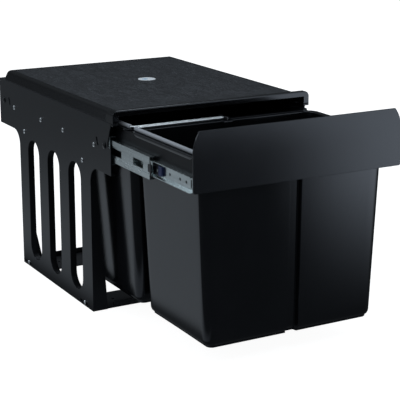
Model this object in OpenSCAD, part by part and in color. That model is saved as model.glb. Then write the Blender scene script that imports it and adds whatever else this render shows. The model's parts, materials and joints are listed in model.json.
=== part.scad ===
// Pull-out waste bin unit for a kitchen base cabinet. All sizes are in millimetres.
// The origin is the centre of the base screw pattern, on the cabinet floor.
// +X is right, +Y goes into the cabinet and +Z is up. The drawer stands partly open.

/* [Frame] */
// Width over the two side panels
frame_w = 356; // [346:1:416]
// Length of the legs along the floor
leg_len = 306; // [296:1:330]
// Overhang of the top band in front of the legs
band_front = 80; // [64:1:100]
// Overhang of the top band behind the legs
band_rear = 94; // [80:1:104]
// Height of the side panels
panel_h = 328; // [327:1:345]
// Height of the top band
band_h = 82.5; // [80:0.5:88]
// Sheet thickness of the side panels
sheet = 1.5; // [1:0.1:2]
// Radius between the legs and the band
leg_fillet_r = 26; // [10:1:40]
// Width of the turned-in edge of a leg, near its top
leg_edge_top = 8; // [4:1:12]
// Width of the turned-in edge of a leg, near the floor
leg_edge_foot = 24; // [14:1:30]
// Width of the turned-in top edge that the hood sits on
top_edge = 10; // [6:1:10]

/* [Slots] */
// Slots in each side panel
slot_count = 3; // [1:1:3]
// Width of a slot
slot_w = 50.5; // [30:0.5:56]
// Distance from slot to slot
slot_pitch = 89; // [85:0.5:90]
// Height of the lowest point of a slot
slot_bottom = 21; // [19:1:40]
// Distance from the front of the leg to the middle of the first slot
slot_in = 64; // [58:0.5:66]
// Solid sheet between the top of a slot and the band
slot_top_gap = 5.5; // [5:0.5:30]
// Depth of the collar drawn inwards round a slot
slot_collar = 11; // [4:1:11]

/* [Base plates] */
// Depth of a base plate
plate_d = 71; // [50:1:90]
// Thickness of a base plate
plate_t = 2; // [1.5:0.1:3]
// Height of the turned-up outer edge of a base plate
plate_edge_h = 11; // [6:1:14]
// Diameter of the base screw holes
base_hole_d = 5.5; // [4:0.1:7]
// Sideways distance between the base screw holes
base_hole_x = 250; // [180:1:260]
// Distance from a base screw hole to the end of its leg
base_hole_in = 38; // [25:1:45]

/* [Hood] */
// Length of the hood
hood_len = 453; // [430:1:460]
// Distance of the hood behind the front edge of the band
hood_set = 4; // [2:1:10]
// Height of the hood above the side panels
hood_h = 16; // [14:1:24]
// Wall of the hood
hood_wall = 2.2; // [1.6:0.1:3]
// Inward slope of the hood's side from bottom to top
hood_slope = 10; // [4:0.5:12]
// Height of the hood's front lip
hood_lip = 9; // [6:0.5:9]
// Corner radius of the hood, seen from above
hood_corner_r = 9; // [5:1:16]
// Distance of the hood's front bezel in front of the band
bezel_out = 8; // [6:0.5:12]
// Rise of that bezel above the hood's top
bezel_up = 5; // [2:0.5:6]
// Distance of the edge groove from the side of the hood's top
groove_in = 7; // [6:0.5:10]

/* [Slides] */
// Length of each slide member
slide_len = 450; // [440:1:456]
// Distance from the top of the side panels down to the slide's centre line
slide_drop = 44; // [42:0.5:46]
// Height of the outer slide member
outer_h = 45; // [44:0.5:48]
// Height of the middle slide member
middle_h = 34; // [33:0.5:35]
// Height of the inner slide member
inner_h = 23.6; // [22:0.2:25]
// Width of a closed slide
slide_w = 12.7; // [12.4:0.1:13.2]
// Steel thickness of the slide members
rail_t = 1.2; // [1:0.1:1.3]
// Length of a ball cage
cage_len = 200; // [140:5:215]
// Balls in one row of a cage
balls_in_row = 6; // [1:1:10]

/* [Drawer] */
// How far the drawer stands open
drawer_out = 247; // [0:1:440]
// Distance from the back of the fascia to the slide's front end
slide_set = 17; // [15:0.5:20]
// Height of the drawer rail above the slide's centre line
rail_above = 37; // [35:0.5:38]
// Depth of the drawer rail below the slide's centre line
rail_below = 9; // [8:0.5:16]
// Sheet thickness of the drawer frame
drawer_sheet = 1.5; // [1.2:0.1:1.8]
// Width of the drawer rail's top edge
rail_edge = 6; // [4:0.5:7]

/* [Fascia] */
// Width of the fascia
fascia_w = 352; // [340:1:356]
// Height of the fascia
fascia_h = 87; // [70:1:110]
// Distance from the slide's centre line down to the fascia's lower edge
fascia_below = 7.5; // [6:0.5:20]
// Thickness of the fascia
fascia_t = 3; // [2:0.5:5]
// Height over which the fascia's top leans back
lean_h = 42; // [20:1:50]
// How far the fascia's top leans back
lean_back = 1.6; // [0.5:0.1:1.8]
// Height of the fascia's tapered top corners
corner_h = 34; // [15:1:40]
// Width of the fascia's tapered top corners
corner_w = 11; // [4:1:16]

/* [Bins] */
// Height of the bins' feet above the cabinet floor
bin_lift = 37.6; // [20:0.1:80]
// Front to back size of a bin's mouth over the walls
bin_d = 204; // [180:0.5:204]
// Gap from the front cross member to the first bin's rim
bin_set = 0.5; // [0.5:0.5:5]
// Gap between the mouths of the two bins
bin_space = 15; // [15:0.5:18]
// Wall of a bin
bin_wall = 2; // [1.6:0.1:2.6]
// Draft of the bin's sides from top to bottom
draft_side = 11.5; // [4:0.5:14]
// Draft of the bin's front from top to bottom
draft_front = 5; // [2:0.5:14]
// Draft of the bin's back from top to bottom
draft_back = 9.5; // [4:0.5:20]
// Corner radius of a bin
bin_corner_r = 15; // [8:1:24]
// Thickness of the bin's rim
rim_t = 2.5; // [2:0.1:3]
// Overhang of the rim at the front and back
rim_over = 7; // [4:0.5:7]
// Depth of the rim's turned-down edge
rim_drop = 3; // [2:0.5:6]
// Width of the groove down the bin's front and back
flute_w = 20; // [12:1:30]
// Depth of that groove
flute_d = 7; // [3:0.5:9]

/* [Bails] */
// Diameter of the bail's wire
wire_d = 4.6; // [3.6:0.1:4.8]
// Diameter of the sleeve on the bail's cross bar
sleeve_d = 6.4; // [5.5:0.1:6.6]
// Distance from a bail's cross bar to the side edge of the rim
bail_in = 17.4; // [16.4:0.1:35]
// Bend radius of the wire's centre line
bail_bend_r = 8; // [6:1:20]

/* [Screws] */
// Diameter of the rail screws
rail_screw_d = 4; // [3:0.1:4.4]
// Diameter of a screw's head
screw_head_d = 8; // [6.5:0.1:9]
// Height of a screw's head
screw_head_h = 1.8; // [1.2:0.1:2]

/* [Clearances] */
// Side clearance between pieces that slide past each other
run_gap = 0.3; // [0.2:0.05:0.4]
// Radial clearance of a pivot in its bore
pivot_gap = 0.05; // [0.02:0.01:0.1]
// Radial clearance of a screw in its hole
screw_gap = 0.2; // [0.1:0.05:0.4]
// Gap between the closed fascia and the side panels
front_gap = 1; // [1:0.1:2]

/* [Hidden] */
$fn = 48;
small = 0.01;
black = [0.07, 0.07, 0.08];
steel = [0.75, 0.77, 0.78];

// Frame
half_w = frame_w / 2;
panel_in = half_w - sheet;
leg_y0 = -leg_len / 2;
leg_y1 = leg_len / 2;
band_y0 = leg_y0 - band_front;
band_y1 = leg_y1 + band_rear;
band_z = panel_h - band_h;
slot_top = band_z - slot_top_gap;
slot_y = [for (i = [0 : slot_count - 1]) leg_y0 + slot_in + i * slot_pitch];
hood_y0 = band_y0 + hood_set;
hood_y1 = hood_y0 + hood_len;
hood_top = panel_h + hood_h;
bezel_y0 = band_y0 - bezel_out;
bezel_foot = panel_h - 3;

slide_z = panel_h - slide_drop;

// Slide section: x from the side panel inwards, z from the slide's centre line
raceway_gap = (outer_h / 2 - rail_t) - middle_h / 2;
outer_ball_r = raceway_gap / 2 - 0.15;
inner_gap = (middle_h / 2 - rail_t) - inner_h / 2;
inner_ball_r = inner_gap / 2 - 0.15;
cage_t = 0.6;
cage_gap = 0.4;
middle_x = rail_t + cage_t + 2 * cage_gap;
middle_jog = 0.7;
inner_x = middle_x + rail_t + middle_jog + cage_t + 2 * cage_gap;
outer_ball_x = middle_x + rail_t + outer_ball_r + 1;
inner_ball_x = inner_x + inner_ball_r + 1.4;
outer_race_z = middle_h / 2 + raceway_gap / 2;
inner_race_z = inner_h / 2 + inner_gap / 2;

// Drawer, at its rest place
fascia_y = band_y0 - bezel_out - front_gap - drawer_out;
inner_y0 = fascia_y + slide_set;
outer_y0 = inner_y0 + drawer_out;
middle_lead = 6.5;
middle_y0 = outer_y0 - drawer_out / 2 - middle_lead;
travel_in = drawer_out;
travel_out = slide_len - drawer_out;
outer_cage_y0 = outer_y0 + 12 + travel_out / 4;
inner_cage_y0 = inner_y0 - travel_out + slide_len / 2 + 12 + travel_out * 3 / 4;
rail_web = panel_in - slide_w;
rail_top = slide_z + rail_above;
drawer_y0 = fascia_y + drawer_sheet;
fascia_z = slide_z - fascia_below;

// Bins, at their rest place
seat_gap = 0.1;
rim_z = rail_top + seat_gap;
rim_top = rim_z + rim_t;
foot_z = bin_lift;
bin_h = rim_top - foot_z;
bin_pitch = bin_d + bin_space;
rim_wall = 1.3;
rim_half = rail_web + run_gap + rim_wall;
bin_half = rail_web - drawer_sheet - rail_edge - run_gap;
front_bin_y = fascia_y + drawer_sheet + bin_set + rim_over;
rear_bin_y = front_bin_y + bin_pitch;
bail_z = rim_top + sleeve_d / 2 + 0.1;
bail_reach = rim_half - bail_in;
bail_off = 4.6;
drawer_y1 = rear_bin_y + bin_d + 2.5;
plate_screw_z = 5.5;

// ---------- helpers ----------

// Rectangle with round corners, from its half width and its front and back edges
module round_rect(half, y0, y1, r) {
    translate([-half + r, y0]) square([2 * (half - r), y1 - y0]);
    translate([-half, y0 + r]) square([2 * half, y1 - y0 - 2 * r]);
    for (x = [-half + r, half - r], y = [y0 + r, y1 - r]) translate([x, y]) circle(r);
}

// Slot with round ends, standing upright around y = 0
module slot_shape(w, z0, z1) {
    translate([-w / 2, z0 + w / 2]) square([w, z1 - z0 - w]);
    for (z = [z0 + w / 2, z1 - w / 2]) translate([0, z]) circle(w / 2);
}

// Puts a y-z outline upright and gives it thickness t towards +X
module upright(t) {
    rotate([90, 0, 90]) linear_extrude(t) children();
}

// Carries an x-z section from y0 to y1
module along_y(y0, y1) {
    translate([0, y1, 0]) rotate([90, 0, 0]) linear_extrude(y1 - y0) children();
}

// A hole or shaft along X from x0 to x1
module x_rod(d, x0, x1) {
    translate([x0, 0, 0]) rotate([0, 90, 0]) cylinder(d = d, h = x1 - x0);
}

// Places a left-hand piece on the left (-1) or mirrors it to the right (1)
module on_side(side) {
    if (side < 0) children();
    else mirror([1, 0, 0]) children();
}

// Slide frame: x is counted inwards from the left panel, z from the centre line
module in_slide() {
    translate([-panel_in, 0, slide_z]) children();
}

// Pan head screw along +X, with the head outside x = 0
module pan_screw(d, length) {
    head_r = screw_head_d / 2;
    x_rod(d, 0, length, $fn = 24);
    difference() {
        rotate([0, -90, 0]) rotate_extrude($fn = 24) polygon([[0, 0], [head_r, 0],
            [head_r, screw_head_h * 0.4], [head_r * 0.85, screw_head_h * 0.75],
            [head_r * 0.5, screw_head_h], [0, screw_head_h]]);
        for (a = [0, 90]) rotate([a, 0, 0]) translate([-screw_head_h - 1, -2.2, -0.5])
            cube([1.9, 4.4, 1]);
    }
}

// ---------- side panels ----------

rail_hole_y = [for (share = [0.1233, 0.3978, 0.6111, 0.8889]) outer_y0 + share * slide_len];
tab_hole_y = [for (share = [0.2267, 0.7867]) outer_y0 + share * slide_len];
tab_z = slide_z - outer_h / 2 - 12.5;
foot_screw_y = [leg_y0 + 33, leg_y1 - 25];
hook_y = [band_y0 + 51, band_y1 - 49];
plug_y = [band_y0 + 24.5, band_y1 - 22];
plug_z = panel_h - 38;
peg_y = [hood_y0 + 45, hood_y0 + hood_len / 2, hood_y1 - 45];
peg_x = half_w - sheet - top_edge / 2;

module panel_outline() {
    difference() {
        union() {
            translate([band_y0, band_z]) square([band_y1 - band_y0, band_h]);
            translate([leg_y0, 0]) square([leg_len, band_z + 1]);
            for (s = [[leg_y0, -1], [leg_y1, 1]]) difference() {
                translate([s[0] + (s[1] < 0 ? -leg_fillet_r : -1), band_z - leg_fillet_r])
                    square([leg_fillet_r + 1, leg_fillet_r + 1]);
                translate([s[0] + s[1] * leg_fillet_r, band_z - leg_fillet_r]) circle(leg_fillet_r);
            }
        }
        // the front end leans back to a notch below the hood
        polygon([[band_y0 - 1, panel_h + 1], [band_y0, panel_h], [band_y0 + 13, panel_h - 32],
                 [band_y0 + 13, panel_h - 38], [band_y0 + 2, panel_h - 40], [band_y0 + 2, band_z - 1],
                 [band_y0 - 1, band_z - 1]]);
        for (y = slot_y) translate([y, 0]) slot_shape(slot_w, slot_bottom, slot_top);
        for (y = rail_hole_y) translate([y, slide_z]) circle(d = rail_screw_d + 2 * screw_gap);
        for (y = tab_hole_y) translate([y, tab_z]) circle(d = rail_screw_d + 2 * screw_gap);
        for (y = hook_y) translate([y, panel_h - 36]) rotate(-24) slot_shape(5, -7.5, 7.5);
        for (y = plug_y) translate([y, plug_z]) circle(d = 5);
        for (y = foot_screw_y) translate([y, plate_screw_z]) rotate(90)
            slot_shape(rail_screw_d + 2 * screw_gap, -19, 19);
    }
}

module left_panel() {
    translate([-half_w, 0, 0]) {
        upright(sheet) panel_outline();
        // drawn collar round each slot
        for (y = slot_y) translate([0, y, 0])
            upright(slot_collar) difference() {
                slot_shape(slot_w + 2 * sheet, slot_bottom - sheet, slot_top + sheet);
                slot_shape(slot_w, slot_bottom, slot_top);
            }
        // turned-in edges of the legs, wider towards the floor
        along_y(leg_y0, leg_y0 + sheet) polygon([[0, 0], [leg_edge_foot + 2, 0], [leg_edge_foot, 40],
            [leg_edge_top, band_z - leg_fillet_r], [0, band_z - leg_fillet_r]]);
        along_y(leg_y1 - sheet, leg_y1) polygon([[0, 0], [leg_edge_foot + 12, 0],
            [leg_edge_foot + 10, 12], [leg_edge_foot, 60], [leg_edge_top, band_z - leg_fillet_r],
            [0, band_z - leg_fillet_r]]);
        // top edge under the hood and hems below the overhangs
        translate([0, 0, panel_h - sheet]) linear_extrude(sheet) difference() {
            translate([0, band_y0 + 14]) square([sheet + top_edge, band_y1 - band_y0 - 14]);
            for (y = peg_y) translate([half_w - peg_x, y]) circle(d = 5.4);
        }
        translate([0, band_y0 + 2, band_z]) cube([7, band_front - leg_fillet_r - 2, sheet]);
        translate([0, leg_y1 + leg_fillet_r, band_z]) cube([7, band_rear - leg_fillet_r, sheet]);
        translate([0, band_y1, 0]) rotate([90, 0, 0]) linear_extrude(sheet) difference() {
            translate([0, band_z]) square([sheet + top_edge, band_h]);
            for (z = bar_screw_z) translate([bar_screw_in, z]) circle(d = rail_screw_d + 2 * screw_gap);
        }
    }
}

module left_side_panel() { color(black) left_panel(); }
module right_side_panel() { color(black) on_side(1) left_panel(); }

// ---------- base plates and rear bar ----------

// Flat plate on the floor with a turned-up outer edge and two ears inside the legs
module base_plate(ear_y) {
    half = panel_in - 0.1;
    clear = leg_edge_foot + 12;
    difference() {
        union() {
            translate([-half, leg_y0 + sheet + 0.1, 0]) cube([2 * half, plate_d, plate_t]);
            translate([-half + clear, leg_y0 + sheet + 0.1, 0])
                cube([2 * (half - clear), plate_t, plate_edge_h]);
            for (s = [-1, 1]) translate([s * (half - plate_t / 2) - plate_t / 2, ear_y - 20, 0])
                cube([plate_t, 40, plate_screw_z + 5.5]);
        }
        for (x = [-base_hole_x / 2, base_hole_x / 2])
            translate([x, leg_y0 + base_hole_in, -1]) cylinder(d = base_hole_d, h = plate_t + 2);
        for (s = [-1, 1]) translate([0, ear_y, plate_screw_z])
            x_rod(rail_screw_d + 2 * screw_gap, s * half - 5, s * half + 5);
        // long hole that lightens the plate
        translate([0, leg_y0 + plate_d / 2 + 3, -1]) linear_extrude(plate_t + 2)
            rotate(90) slot_shape(14, -70, 70);
    }
}

module front_base_plate() { color(black) base_plate(foot_screw_y[0]); }
module rear_base_plate() { color(black) mirror([0, 1, 0]) base_plate(-foot_screw_y[1]); }

bar_h = 27;
bar_z = panel_h - sheet - bar_h;
bar_screw_z = [bar_z + 7, bar_z + bar_h - 7];
bar_screw_in = 6.5;

// Angle that ties the two panels together behind the hood
module rear_cross_bar() {
    half = panel_in - 0.1;
    color(black) difference() {
        union() {
            translate([-half, band_y1 - 2 * sheet, bar_z]) cube([2 * half, sheet, bar_h]);
            translate([-half, band_y1 - 2 * sheet - 9, bar_z]) cube([2 * half, 9, sheet]);
        }
        for (x = [-110, 0, 110]) translate([x, band_y1, bar_z + 15]) rotate([90, 0, 0])
            linear_extrude(12) rotate(90) slot_shape(9, -24, 24);
        for (s = [-1, 1], z = bar_screw_z) translate([s * (half_w - bar_screw_in), band_y1, z])
            rotate([90, 0, 0]) cylinder(d = rail_screw_d + 2 * screw_gap, h = 10);
    }
}

// ---------- hood ----------

module hood_section(inset, top) {
    edge = half_w - inset;
    arc_r = 10;
    turn = atan2(hood_h, hood_slope);
    cx = edge - hood_slope - arc_r * tan(turn / 2);
    right = concat([[edge, panel_h]],
        [for (a = [90 - turn : turn / 5 : 90.1]) [cx + arc_r * cos(a), top - arc_r + arc_r * sin(a)]]);
    polygon(concat(right, [for (i = [len(right) - 1 : -1 : 0]) [-right[i][0], right[i][1]]]));
}

// Outline of the hood's front bezel, inset for its hollow
module bezel_outline(inset) {
    top = hood_top + bezel_up - inset;
    half = half_w - inset;
    corner = 9 - inset;
    translate([-half, bezel_foot]) square([2 * half, top - bezel_foot - corner]);
    translate([-half + corner, bezel_foot]) square([2 * (half - corner), top - bezel_foot]);
    for (s = [-1, 1]) translate([s * (half - corner), top - corner]) circle(corner);
}

// Full-width bezel whose top ramps down to the hood's field
module hood_bezel() {
    top = hood_top + bezel_up;
    intersection() {
        translate([-half_w, 0, 0]) upright(frame_w)
            polygon([[bezel_y0, bezel_foot], [bezel_y0, top - 2], [bezel_y0 + 0.6, top - 0.6],
                     [bezel_y0 + 2, top], [bezel_y0 + 8, top], [hood_y0 + 12, hood_top],
                     [hood_y0 + 12, panel_h], [band_y0 - 0.3, panel_h], [band_y0 - 0.3, bezel_foot]]);
        along_y(bezel_y0 - 1, hood_y0 + 13) bezel_outline(0);
    }
}

module hood() {
    groove_x = half_w - hood_slope - groove_in;
    color(black) difference() {
        union() {
            difference() {
                union() {
                    intersection() {
                        along_y(hood_y0, hood_y1) hood_section(0, hood_top);
                        translate([0, 0, panel_h - 1]) linear_extrude(hood_h + 2)
                            round_rect(half_w, hood_y0, hood_y1, hood_corner_r);
                    }
                    hood_bezel();
                }
                // hollow under the field, with its own round corners at the back
                intersection() {
                    translate([0, 0, -hood_wall])
                        along_y(hood_y0 - 1, hood_y1 - hood_wall) hood_section(hood_wall, hood_top);
                    translate([0, 0, panel_h - 5]) linear_extrude(hood_h + 5)
                        round_rect(half_w, hood_y0 - 20, hood_y1 - hood_wall, hood_corner_r - hood_wall);
                }
                // hollow behind the bezel's front plate
                along_y(bezel_y0 + hood_wall, hood_y0) bezel_outline(hood_wall + 0.8);
                translate([-half_w + hood_wall, bezel_y0 + hood_wall, bezel_foot - 1])
                    cube([frame_w - 2 * hood_wall, bezel_out, 5]);
                // mouths below the front and rear lips, for the bins and bails to pass
                translate([-rim_half - 3, bezel_y0 - 1, bezel_foot - 1])
                    cube([2 * rim_half + 6, hood_wall + 2, hood_top + bezel_up - hood_lip - bezel_foot + 1]);
                translate([-rim_half - 3, hood_y1 - hood_corner_r - 1, panel_h - 1])
                    cube([2 * rim_half + 6, hood_corner_r + 2, hood_h + 1 - hood_lip]);
            }
            // stiffening ribs under the top
            for (i = [1 : 3]) translate([-half_w + 14, hood_y0 + i * hood_len / 4, hood_top - hood_wall - 4])
                cube([2 * half_w - 28, hood_wall * 0.7, 4]);
            for (x = [-half_w * 0.42, half_w * 0.42]) translate([x, hood_y0 + 4, hood_top - hood_wall - 4])
                cube([hood_wall * 0.7, hood_len - 8, 4]);
            // pegs that snap into the panels' top edges
            for (s = [-1, 1], y = peg_y) translate([s * peg_x, y, 0]) {
                translate([0, 0, panel_h]) cylinder(d = 7, h = 4);
                translate([0, 0, panel_h - sheet - 2]) cylinder(d = 5, h = sheet + 3);
            }
        }
        // edge groove round the grained field: two sides and the back
        for (s = [-1, 1]) translate([s * groove_x - 0.6, hood_y0 + 12, hood_top - 0.8])
            cube([1.2, hood_len - 19, 2]);
        translate([-groove_x, hood_y1 - 8, hood_top - 0.8]) cube([2 * groove_x, 1.2, 2]);
    }
}

// Push-in plugs in spare holes of the panels
module panel_plugs() {
    color([0.03, 0.03, 0.03]) for (s = [-1, 1], y = plug_y) translate([s * half_w, y, plug_z]) on_side(s) {
        x_rod(4.8, 0, sheet - 0.1);
        intersection() {
            translate([9, 0, 0]) sphere(r = 11.5, $fn = 64);
            x_rod(11, -3, 0);
        }
    }
}

// ---------- slides ----------

module outer_section() {
    h = outer_h / 2;
    translate([0, -h]) square([rail_t, outer_h]);
    for (s = [0, 1]) mirror([0, s]) {
        translate([0, h - rail_t]) square([slide_w - 2, rail_t]);
        translate([slide_w - 3.2, h - rail_t - 1.2]) square([1.2, 1.3]);
    }
}

module left_outer() {
    difference() {
        union() {
            in_slide() along_y(outer_y0, outer_y0 + slide_len) outer_section();
            for (y = tab_hole_y) translate([-panel_in, y - 8, tab_z - 7])
                cube([rail_t, 16, slide_z - outer_h / 2 - tab_z + 8]);
        }
        for (y = rail_hole_y) translate([-panel_in, y, slide_z])
            x_rod(rail_screw_d + 2 * screw_gap, -1, rail_t + 1);
        for (y = tab_hole_y) translate([-panel_in, y, tab_z])
            x_rod(rail_screw_d + 2 * screw_gap, -1, rail_t + 1);
        // pressed slots between the screws
        for (share = [0.0444, 0.5, 0.7333])
            translate([-panel_in - 1, outer_y0 + share * slide_len, slide_z])
                upright(rail_t + 2) rotate(90) slot_shape(6, -12, 12);
    }
}

module middle_section() {
    h = middle_h / 2;
    translate([middle_x + middle_jog, -h + 8]) square([rail_t, middle_h - 16]);
    for (s = [0, 1]) mirror([0, s]) {
        translate([middle_x, h - 8]) square([rail_t, 8]);
        translate([middle_x, h - 8]) square([rail_t + middle_jog, rail_t]);
        translate([middle_x, h - rail_t]) square([slide_w - 1.1 - middle_x, rail_t]);
    }
}

// start and length of each window, as shares of the slide's length
middle_windows = [[0.05, 0.0733], [0.2133, 0.0889], [0.4556, 0.0889], [0.6667, 0.0889], [0.8556, 0.0889]];

module left_middle() {
    in_slide() difference() {
        along_y(middle_y0, middle_y0 + slide_len) middle_section();
        for (w = middle_windows) translate([middle_x - 1, middle_y0 + w[0] * slide_len, -5.5])
            cube([rail_t + 3, w[1] * slide_len, 11]);
        // seat of the end bumper
        translate([middle_x - 1, middle_y0 - 1, -6]) cube([rail_t + 3, 7, 12]);
    }
}

// Plastic end stop clipped into the middle member's front end
module left_bumper() {
    in_slide() {
        translate([middle_x + 0.1, middle_y0 - 5, -5.8]) cube([rail_t + 0.6, 10.8, 11.6]);
        translate([middle_x - 0.9, middle_y0 - 5, -9]) cube([1, 3.5, 18]);
        translate([middle_x - 0.9, middle_y0 - 5, -3]) cube([1, 9, 6]);
    }
}

module inner_section() {
    h = inner_h / 2;
    translate([slide_w - rail_t, -h]) square([rail_t, inner_h]);
    for (s = [0, 1]) mirror([0, s])
        translate([inner_x, h - rail_t]) square([slide_w - inner_x, rail_t]);
}

inner_holes = [for (share = [0.0467, 0.0878, 0.1556, 0.4, 0.6444, 0.8889]) share * slide_len];
lever_y = slide_len * 0.2267;

module left_inner() {
    in_slide() difference() {
        union() {
            along_y(inner_y0, inner_y0 + slide_len) inner_section();
            translate([0, inner_y0 + lever_y, 0]) x_rod(4, inner_x + 1.6, slide_w - rail_t + 0.1);
        }
        for (f = inner_holes) translate([0, inner_y0 + f, 0])
            x_rod(rail_screw_d + 2 * screw_gap, slide_w - rail_t - 1, slide_w + 1);
        translate([slide_w - rail_t - 1, inner_y0 + 5, -6]) cube([rail_t + 2, 3, 12]);
    }
}

// U-shaped ball cage: web between the members' webs, a flange through each raceway
module cage(web_x, race_z, ball_x, ball_r, y0) {
    hole_r = ball_r + 0.06;
    flange = ball_x + ball_r + 0.6 - web_x;
    in_slide() difference() {
        along_y(y0, y0 + cage_len) {
            translate([web_x, -race_z - cage_t / 2]) square([cage_t, 2 * race_z + cage_t]);
            for (s = [-1, 1]) translate([web_x, s * race_z - cage_t / 2]) square([flange, cage_t]);
        }
        for (i = [0 : balls_in_row - 1])
            translate([ball_x, y0 + (i + 0.5) * cage_len / balls_in_row, -race_z - 1])
                cylinder(r = hole_r, h = 2 * race_z + 2);
        translate([web_x - 1, y0 + 8, -race_z + 5]) cube([cage_t + 2, cage_len - 16, 2 * race_z - 10]);
    }
}

module ball_rows(race_z, ball_x, ball_r, y0) {
    in_slide() for (i = [0 : balls_in_row - 1], s = [-1, 1])
        translate([ball_x, y0 + (i + 0.5) * cage_len / balls_in_row, s * race_z])
            sphere(r = ball_r, $fn = 14);
}

module outer_cage() {
    cage(rail_t + cage_gap, outer_race_z, outer_ball_x, outer_ball_r, outer_cage_y0);
}
module inner_cage() {
    cage(middle_x + rail_t + middle_jog + cage_gap, inner_race_z, inner_ball_x, inner_ball_r, inner_cage_y0);
}
module outer_balls() { ball_rows(outer_race_z, outer_ball_x, outer_ball_r, outer_cage_y0); }
module inner_balls() { ball_rows(inner_race_z, inner_ball_x, inner_ball_r, inner_cage_y0); }

// Plastic lever that frees the drawer from its slide, turning on the inner member's stud
module left_lever() {
    x0 = inner_x + 1.8;
    x1 = slide_w - rail_t - run_gap;
    in_slide() translate([0, inner_y0 + lever_y, 0]) difference() {
        union() {
            translate([x0, -4, -8.2]) cube([x1 - x0, 18, 16.4]);
            translate([x0, -13, -7]) cube([x1 - x0, 10, 14]);
        }
        x_rod(4 + 2 * pivot_gap, x0 - 1, x1 + 1);
        translate([x0 - 1, 5, -5]) cube([x1 - x0 - 0.8, 6, 10]);
        for (z = [-4, 0, 4]) translate([x0 - 0.5, -12, z - 0.5]) cube([1, 6, 1]);
    }
}

module left_outer_rail() { color(steel) left_outer(); }
module right_outer_rail() { color(steel) on_side(1) left_outer(); }
module left_middle_rail() { color(steel) left_middle(); }
module right_middle_rail() { color(steel) on_side(1) left_middle(); }
module left_rail_bumper() { color([0.3, 0.3, 0.32]) left_bumper(); }
module right_rail_bumper() { color([0.3, 0.3, 0.32]) on_side(1) left_bumper(); }
module left_inner_rail() { color(steel) left_inner(); }
module right_inner_rail() { color(steel) on_side(1) left_inner(); }
module left_outer_cage() { color(steel) outer_cage(); }
module right_outer_cage() { color(steel) on_side(1) outer_cage(); }
module left_outer_balls() { color(steel) outer_balls(); }
module right_outer_balls() { color(steel) on_side(1) outer_balls(); }
module left_inner_cage() { color(steel) inner_cage(); }
module right_inner_cage() { color(steel) on_side(1) inner_cage(); }
module left_inner_balls() { color(steel) inner_balls(); }
module right_inner_balls() { color(steel) on_side(1) inner_balls(); }
module left_release_lever() { color([0.12, 0.16, 0.35]) left_lever(); }
module right_release_lever() { color([0.12, 0.16, 0.35]) on_side(1) left_lever(); }

// ---------- drawer frame ----------

module left_rail() {
    web_z = slide_z - rail_below;
    translate([-rail_web, 0, 0]) difference() {
        union() {
            along_y(drawer_y0, drawer_y1) {
                translate([0, web_z]) square([drawer_sheet, rail_top - web_z]);
                translate([0, rail_top - drawer_sheet]) square([drawer_sheet + rail_edge, drawer_sheet]);
                translate([0, web_z]) square([4, drawer_sheet]);
            }
        }
        for (f = inner_holes) translate([0, inner_y0 + f, slide_z])
            x_rod(rail_screw_d + 2 * screw_gap, -1, drawer_sheet + 1);
    }
}
module left_drawer_rail() { color(black) left_rail(); }
module right_drawer_rail() { color(black) on_side(1) left_rail(); }

member_ear = 10;

// Strip across the drawer with an ear welded inside each drawer rail
module cross_member(y, z0, z1, ear_dir) {
    half = rail_web - drawer_sheet - small;
    translate([-half, y, z0]) cube([2 * half, drawer_sheet, z1 - z0]);
    for (s = [-1, 1])
        translate([s * (half - drawer_sheet / 2) - drawer_sheet / 2, y + (ear_dir < 0 ? -member_ear : 0), z0])
            cube([drawer_sheet, member_ear + drawer_sheet, z1 - z0 - 4]);
}

gap_mid_y = rear_bin_y - (bin_pitch - bin_d) / 2;
fascia_hole_x = fascia_w * 0.3636;
fascia_hole_z = [fascia_z + fascia_h * 0.16, fascia_z + fascia_h * 0.39];

module front_cross_member() {
    color(black) difference() {
        union() {
            translate([-rail_web, fascia_y, fascia_z + 4])
                cube([2 * rail_web, drawer_sheet, rail_top - 1 - fascia_z - 4]);
            for (s = [-1, 1])
                translate([s * (rail_web - drawer_sheet * 1.5) - drawer_sheet / 2, fascia_y, fascia_z + 4])
                    cube([drawer_sheet, member_ear * 2.4, fascia_h * 0.39]);
        }
        for (x = [-fascia_hole_x, fascia_hole_x], z = fascia_hole_z)
            translate([x, fascia_y - 1, z]) rotate([-90, 0, 0])
                cylinder(d = rail_screw_d + 2 * screw_gap, h = drawer_sheet + 2);
    }
}
module middle_cross_member() {
    color(black) cross_member(gap_mid_y - drawer_sheet / 2, slide_z + outer_h * 0.27, rail_top - 4, 1);
}
module rear_cross_member() {
    color(black) cross_member(drawer_y1 - drawer_sheet, slide_z - rail_below + drawer_sheet,
                              rail_top - drawer_sheet, -1);
}

module drawer_screws() {
    color(steel) for (s = [-1, 1], i = [3 : len(inner_holes) - 1])
        translate([s * (rail_web - drawer_sheet), inner_y0 + inner_holes[i], slide_z]) on_side(-s)
            pan_screw(rail_screw_d, drawer_sheet + rail_t);
}

module fascia_screws() {
    color(steel) for (x = [-fascia_hole_x, fascia_hole_x], z = fascia_hole_z)
        translate([x, fascia_y + drawer_sheet, z]) rotate([0, 0, -90])
            pan_screw(rail_screw_d, drawer_sheet + fascia_t - 1);
}

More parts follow.
